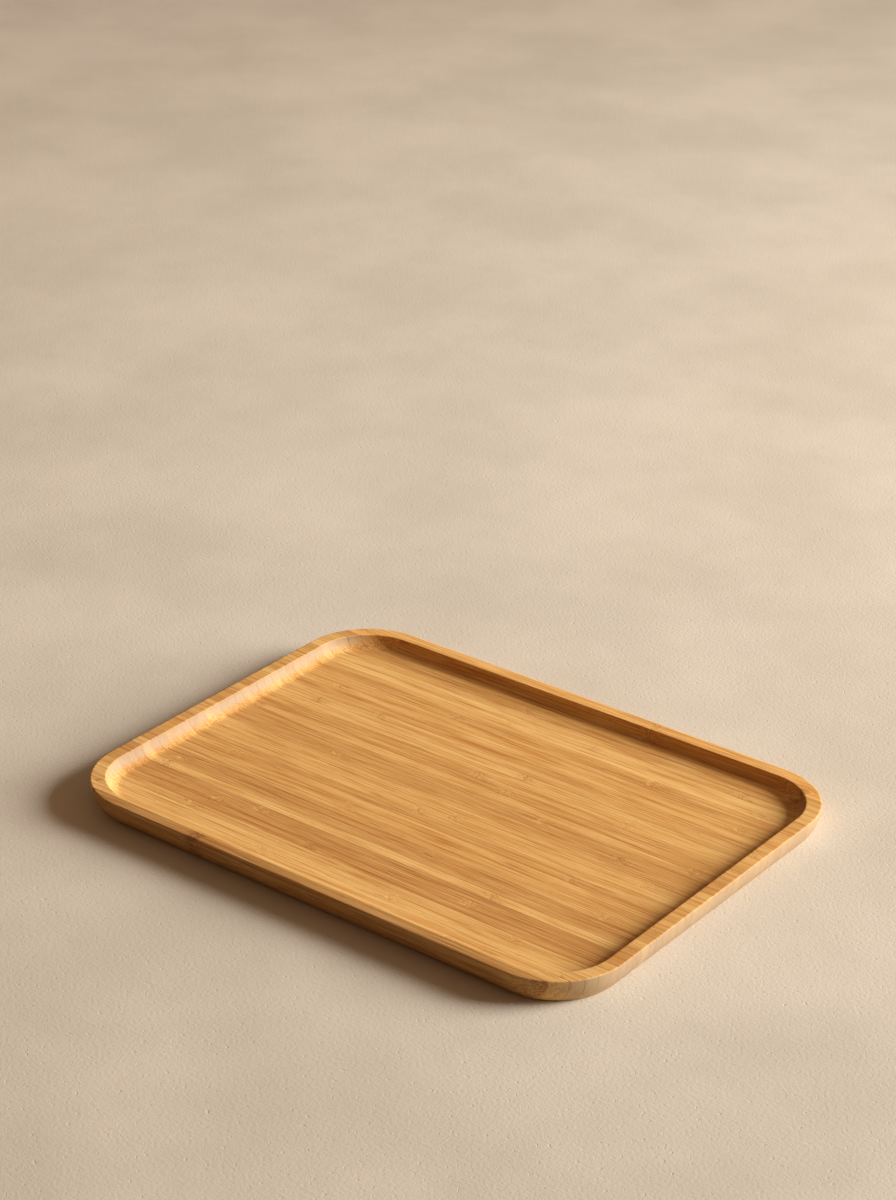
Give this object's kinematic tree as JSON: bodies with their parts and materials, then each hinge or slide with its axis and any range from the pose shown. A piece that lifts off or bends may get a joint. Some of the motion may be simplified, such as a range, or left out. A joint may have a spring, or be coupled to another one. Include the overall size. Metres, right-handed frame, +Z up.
{
  "type": "serving tray",
  "caption": "Rectangular bamboo serving tray with rounded corners, a flat rim, a coved flat-bottomed well and undercut curved sides, glued up from full-length strips.",
  "frame": {"origin": "centre of the flat base, on the surface that the tray stands on", "axes": "+Z up out of the well, +X along the long side and the bamboo's grain, +Y across the strips"},
  "size_m": [0.38, 0.28, 0.017],
  "materials": {
    "bamboo_straw": "satin, oiled side-pressed bamboo, pale straw tone",
    "bamboo_golden": "satin, oiled side-pressed bamboo, golden tone",
    "bamboo_honey": "satin, oiled side-pressed bamboo, honey tone",
    "bamboo_amber": "satin, oiled side-pressed bamboo, amber tone",
    "bamboo_caramel": "satin, oiled side-pressed bamboo, caramel tone"
  },
  "bodies": {
    "root": {"bamboo_strip_01": "bamboo_caramel", "bamboo_strip_02": "bamboo_straw", "bamboo_strip_03": "bamboo_golden", "bamboo_strip_04": "bamboo_straw", "bamboo_strip_05": "bamboo_straw", "bamboo_strip_06": "bamboo_golden", "bamboo_strip_07": "bamboo_caramel", "bamboo_strip_08": "bamboo_caramel", "bamboo_strip_09": "bamboo_caramel", "bamboo_strip_10": "bamboo_straw", "bamboo_strip_11": "bamboo_amber", "bamboo_strip_12": "bamboo_caramel", "bamboo_strip_13": "bamboo_honey", "bamboo_strip_14": "bamboo_honey", "bamboo_strip_15": "bamboo_honey", "bamboo_strip_16": "bamboo_amber", "bamboo_strip_17": "bamboo_golden", "bamboo_strip_18": "bamboo_golden", "bamboo_strip_19": "bamboo_golden", "bamboo_strip_20": "bamboo_amber", "bamboo_strip_21": "bamboo_amber", "bamboo_strip_22": "bamboo_amber", "bamboo_strip_23": "bamboo_golden", "bamboo_strip_24": "bamboo_amber", "bamboo_strip_25": "bamboo_honey", "bamboo_strip_26": "bamboo_golden", "bamboo_strip_27": "bamboo_straw", "bamboo_strip_28": "bamboo_golden", "bamboo_strip_29": "bamboo_amber", "bamboo_strip_30": "bamboo_golden", "bamboo_strip_31": "bamboo_honey", "bamboo_strip_32": "bamboo_honey", "bamboo_strip_33": "bamboo_honey", "bamboo_strip_34": "bamboo_straw", "bamboo_strip_35": "bamboo_straw", "bamboo_strip_36": "bamboo_golden", "bamboo_strip_37": "bamboo_amber", "bamboo_strip_38": "bamboo_honey", "bamboo_strip_39": "bamboo_amber", "bamboo_strip_40": "bamboo_golden"}
  },
  "joints": []
}
